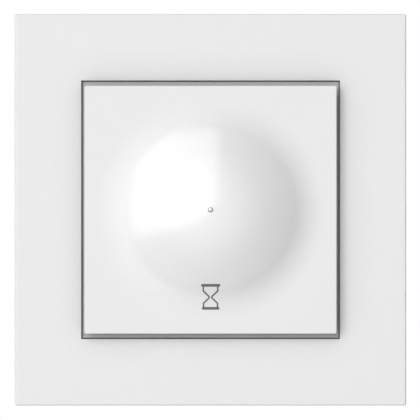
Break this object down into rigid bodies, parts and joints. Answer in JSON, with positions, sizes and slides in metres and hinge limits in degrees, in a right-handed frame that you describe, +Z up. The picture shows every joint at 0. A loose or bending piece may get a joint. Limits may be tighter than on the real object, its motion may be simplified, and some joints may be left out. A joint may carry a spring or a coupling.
{
  "type": "timer switch",
  "caption": "Square flush wall timer switch: cover frame, sprung domed push key with light guide, and relay insert with clamp terminals and spreading claws.",
  "frame": {"origin": "middle between the box screws, on the back face of the mounting plate, which lies on the wall", "axes": "+Z up the wall, +X to the right seen from the front, -Y out of the wall towards the viewer"},
  "size_m": [0.084, 0.0419, 0.084],
  "materials": {
    "frame": "smooth gloss",
    "key": "smooth gloss",
    "ring": "fine satin",
    "light_guide": "clear",
    "spring_steel": "drawn wire",
    "plate_steel": "zinc plated",
    "claw_steel": "zinc plated",
    "screw_steel": "zinc plated",
    "housing": "fine spark texture",
    "housing_cover": "fine spark texture",
    "terminal_block": "fine spark texture",
    "tag_brass": "stamped",
    "cage_steel": "nickel plated",
    "board": "solder mask",
    "header_plastic": "satin",
    "switch_body": "satin",
    "switch_plunger": "satin",
    "led_lens": "clear cast",
    "trimmer_body": "satin",
    "trimmer_rotor": "satin",
    "chip": "satin",
    "relay_case": "gloss",
    "film_case": "gloss",
    "can_sleeve": "shrunk sleeve",
    "varistor_coat": "dipped epoxy",
    "fuse_case": "satin"
  },
  "bodies": {
    "insert": {"cover_frame": "frame", "carrier_ring": "ring", "key_spring_left": "spring_steel", "key_spring_right": "spring_steel", "mounting_plate": "plate_steel", "housing_base": "housing", "housing_cover": "housing_cover", "housing_screws": "screw_steel", "terminal_block": "terminal_block", "control_board": "board", "power_board": "board", "pin_header": "header_plastic", "tact_switch": "switch_body", "led": "led_lens", "trimmer_body": "trimmer_body", "timer_chip": "chip", "relay": "relay_case", "film_capacitor": "film_case", "electrolytic_capacitor": "can_sleeve", "varistor": "varistor_coat", "fuse": "fuse_case", "terminal_tag_1": "tag_brass", "terminal_tag_2": "tag_brass", "terminal_tag_3": "tag_brass", "terminal_tag_4": "tag_brass"},
    "key": {"key_cap": "key", "light_guide": "light_guide"},
    "plunger": {"tact_plunger": "switch_plunger"},
    "adjuster": {"trimmer_rotor": "trimmer_rotor"},
    "left_claw": {"claw_left": "claw_steel"},
    "right_claw": {"claw_right": "claw_steel"},
    "left_claw_screw": {"claw_screw_left": "screw_steel"},
    "right_claw_screw": {"claw_screw_right": "screw_steel"},
    "clamp_screw_1": {"terminal_screw_1": "screw_steel"},
    "clamp_cage_1": {"terminal_cage_1": "cage_steel"},
    "clamp_screw_2": {"terminal_screw_2": "screw_steel"},
    "clamp_cage_2": {"terminal_cage_2": "cage_steel"},
    "clamp_screw_3": {"terminal_screw_3": "screw_steel"},
    "clamp_cage_3": {"terminal_cage_3": "cage_steel"},
    "clamp_screw_4": {"terminal_screw_4": "screw_steel"},
    "clamp_cage_4": {"terminal_cage_4": "cage_steel"}
  },
  "joints": [
    {"name": "key_press", "type": "hinge", "parent": "insert", "child": "key", "pos_m": [0, -0.005, 0.0215], "axis": [1, 0, 0], "range_deg": [0, 1.35], "stiffness_Nm_per_rad": 2, "springref_deg": -1.72, "deforming": ["key_spring_left", "key_spring_right"]},
    {"name": "plunger_travel", "type": "slide", "parent": "insert", "child": "plunger", "axis": [0, 1, 0], "range_m": [0, 0.0003]},
    {"name": "adjuster_turn", "type": "hinge", "parent": "insert", "child": "adjuster", "pos_m": [0.011, -0.0024, 0.002], "axis": [0, 1, 0], "range_deg": [-135, 135]},
    {"name": "left_claw_screw_turn", "type": "hinge", "parent": "insert", "child": "left_claw_screw", "pos_m": [-0.026, 0, -0.008], "axis": [0, 1, 0], "range_deg": [0, 630]},
    {"name": "left_claw_swing", "type": "hinge", "parent": "insert", "child": "left_claw", "pos_m": [-0.0234, 0.0031, -0.008], "axis": [0, 0, 1], "range_deg": [0, 24]},
    {"name": "right_claw_screw_turn", "type": "hinge", "parent": "insert", "child": "right_claw_screw", "pos_m": [0.026, 0, -0.008], "axis": [0, 1, 0], "range_deg": [0, 630]},
    {"name": "right_claw_swing", "type": "hinge", "parent": "insert", "child": "right_claw", "pos_m": [0.0234, 0.0031, -0.008], "axis": [0, 0, -1], "range_deg": [0, 24]},
    {"name": "clamp_screw_1_turn", "type": "hinge", "parent": "insert", "child": "clamp_screw_1", "pos_m": [-0.0126, 0.02, -0.0149], "axis": [0, -1, 0], "range_deg": [0, 1542.86]},
    {"name": "clamp_cage_1_rise", "type": "slide", "parent": "insert", "child": "clamp_cage_1", "axis": [0, 1, 0], "range_m": [0, 0.003]},
    {"name": "clamp_screw_2_turn", "type": "hinge", "parent": "insert", "child": "clamp_screw_2", "pos_m": [-0.0042, 0.02, -0.0149], "axis": [0, -1, 0], "range_deg": [0, 1542.86]},
    {"name": "clamp_cage_2_rise", "type": "slide", "parent": "insert", "child": "clamp_cage_2", "axis": [0, 1, 0], "range_m": [0, 0.003]},
    {"name": "clamp_screw_3_turn", "type": "hinge", "parent": "insert", "child": "clamp_screw_3", "pos_m": [0.0042, 0.02, -0.0149], "axis": [0, -1, 0], "range_deg": [0, 1542.86]},
    {"name": "clamp_cage_3_rise", "type": "slide", "parent": "insert", "child": "clamp_cage_3", "axis": [0, 1, 0], "range_m": [0, 0.003]},
    {"name": "clamp_screw_4_turn", "type": "hinge", "parent": "insert", "child": "clamp_screw_4", "pos_m": [0.0126, 0.02, -0.0149], "axis": [0, -1, 0], "range_deg": [0, 1542.86]},
    {"name": "clamp_cage_4_rise", "type": "slide", "parent": "insert", "child": "clamp_cage_4", "axis": [0, 1, 0], "range_m": [0, 0.003]}
  ],
  "couplings": [
    {"joint": "plunger_travel", "follows": "key_press", "m_per_rad": 0.012},
    {"joint": "left_claw_swing", "follows": "left_claw_screw_turn", "ratio": 0.038095},
    {"joint": "right_claw_swing", "follows": "right_claw_screw_turn", "ratio": 0.038095},
    {"joint": "clamp_screw_1_turn", "follows": "clamp_cage_1_rise", "rad_per_m": 8976},
    {"joint": "clamp_screw_2_turn", "follows": "clamp_cage_2_rise", "rad_per_m": 8976},
    {"joint": "clamp_screw_3_turn", "follows": "clamp_cage_3_rise", "rad_per_m": 8976},
    {"joint": "clamp_screw_4_turn", "follows": "clamp_cage_4_rise", "rad_per_m": 8976}
  ]
}
